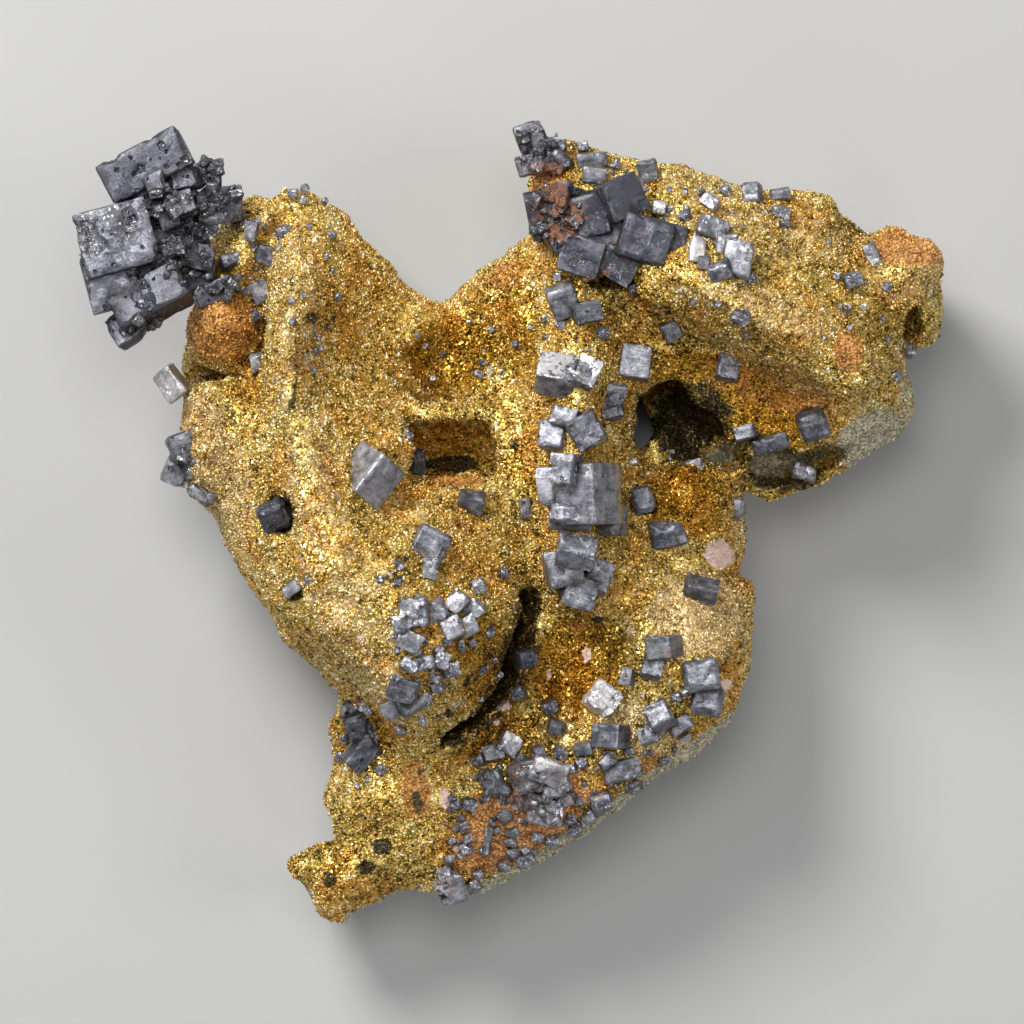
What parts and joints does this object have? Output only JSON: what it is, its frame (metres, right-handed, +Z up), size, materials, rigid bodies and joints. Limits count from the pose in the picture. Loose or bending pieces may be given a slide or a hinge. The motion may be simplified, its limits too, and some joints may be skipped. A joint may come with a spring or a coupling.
{
  "type": "acanthite mineral specimen",
  "caption": "Dark grey pseudocubic acanthite crystals and skeletal slabs on a gold druse-coated boxwork matrix with a V-notch, a recess, a column ridge and a through hole.",
  "frame": {"origin": "centre of the bounding box in plan, at the level of the trimmed back that the specimen rests on", "axes": "+X to the right along the longest extent, +Y towards the top of the plan, +Z up out of the druse-coated face"},
  "size_m": [0.0436, 0.0402, 0.0213],
  "materials": {
    "druse": "sparkling gold microcrystalline chalcopyrite coating on grey-green host rock, with orange-brown iron stains",
    "acanthite": "dark lead-grey metallic, pitted and finely striated",
    "silvery_acanthite": "bright silver-white metallic with dark pits"
  },
  "bodies": {
    "root": {"matrix": "druse", "skeletal_slabs": "acanthite", "neck_upper": "acanthite", "neck_bridge": "acanthite", "neck_lower": "acanthite", "west_edge_cube": "silvery_acanthite", "west_group": "acanthite", "pit_crystal": "acanthite", "spine_cube": "acanthite", "recess_crystal": "acanthite", "centre_twin": "acanthite", "centre_small": "acanthite", "centre_dark": "acanthite", "belly_north": "acanthite", "belly_middle": "acanthite", "belly_low": "acanthite", "south_west_group": "acanthite", "gap_crystal": "acanthite", "north_tip": "acanthite", "north_group": "acanthite", "north_small_pair": "acanthite", "north_dark_cube": "acanthite", "north_white_cube": "silvery_acanthite", "north_box": "silvery_acanthite", "east_group": "acanthite", "lobe_edge_cube": "acanthite", "lobe_flat_cube": "acanthite", "lobe_slim": "acanthite", "column_head_pair": "acanthite", "under_ridge_crystal": "acanthite", "ridge_foot_crystal": "acanthite", "cavity_crystal": "acanthite", "cavity_bar": "acanthite", "column_top": "acanthite", "column_middle": "acanthite", "column_block": "acanthite", "column_foot": "acanthite", "right_cube": "acanthite", "right_pair": "acanthite", "mound_west": "acanthite", "mound_middle": "acanthite", "mound_east": "acanthite", "ledge_bar": "acanthite", "ledge_pair": "acanthite", "ledge_slim": "acanthite", "ledge_white_cube": "silvery_acanthite", "ledge_striated": "acanthite", "ledge_rounded": "acanthite", "ledge_twin": "acanthite", "ledge_low_bar": "acanthite", "ledge_round_low": "acanthite", "ledge_mass": "acanthite", "ledge_bright": "acanthite", "ledge_north_bright": "acanthite", "ledge_needle": "acanthite", "foot_crystal": "acanthite"}
  },
  "joints": []
}
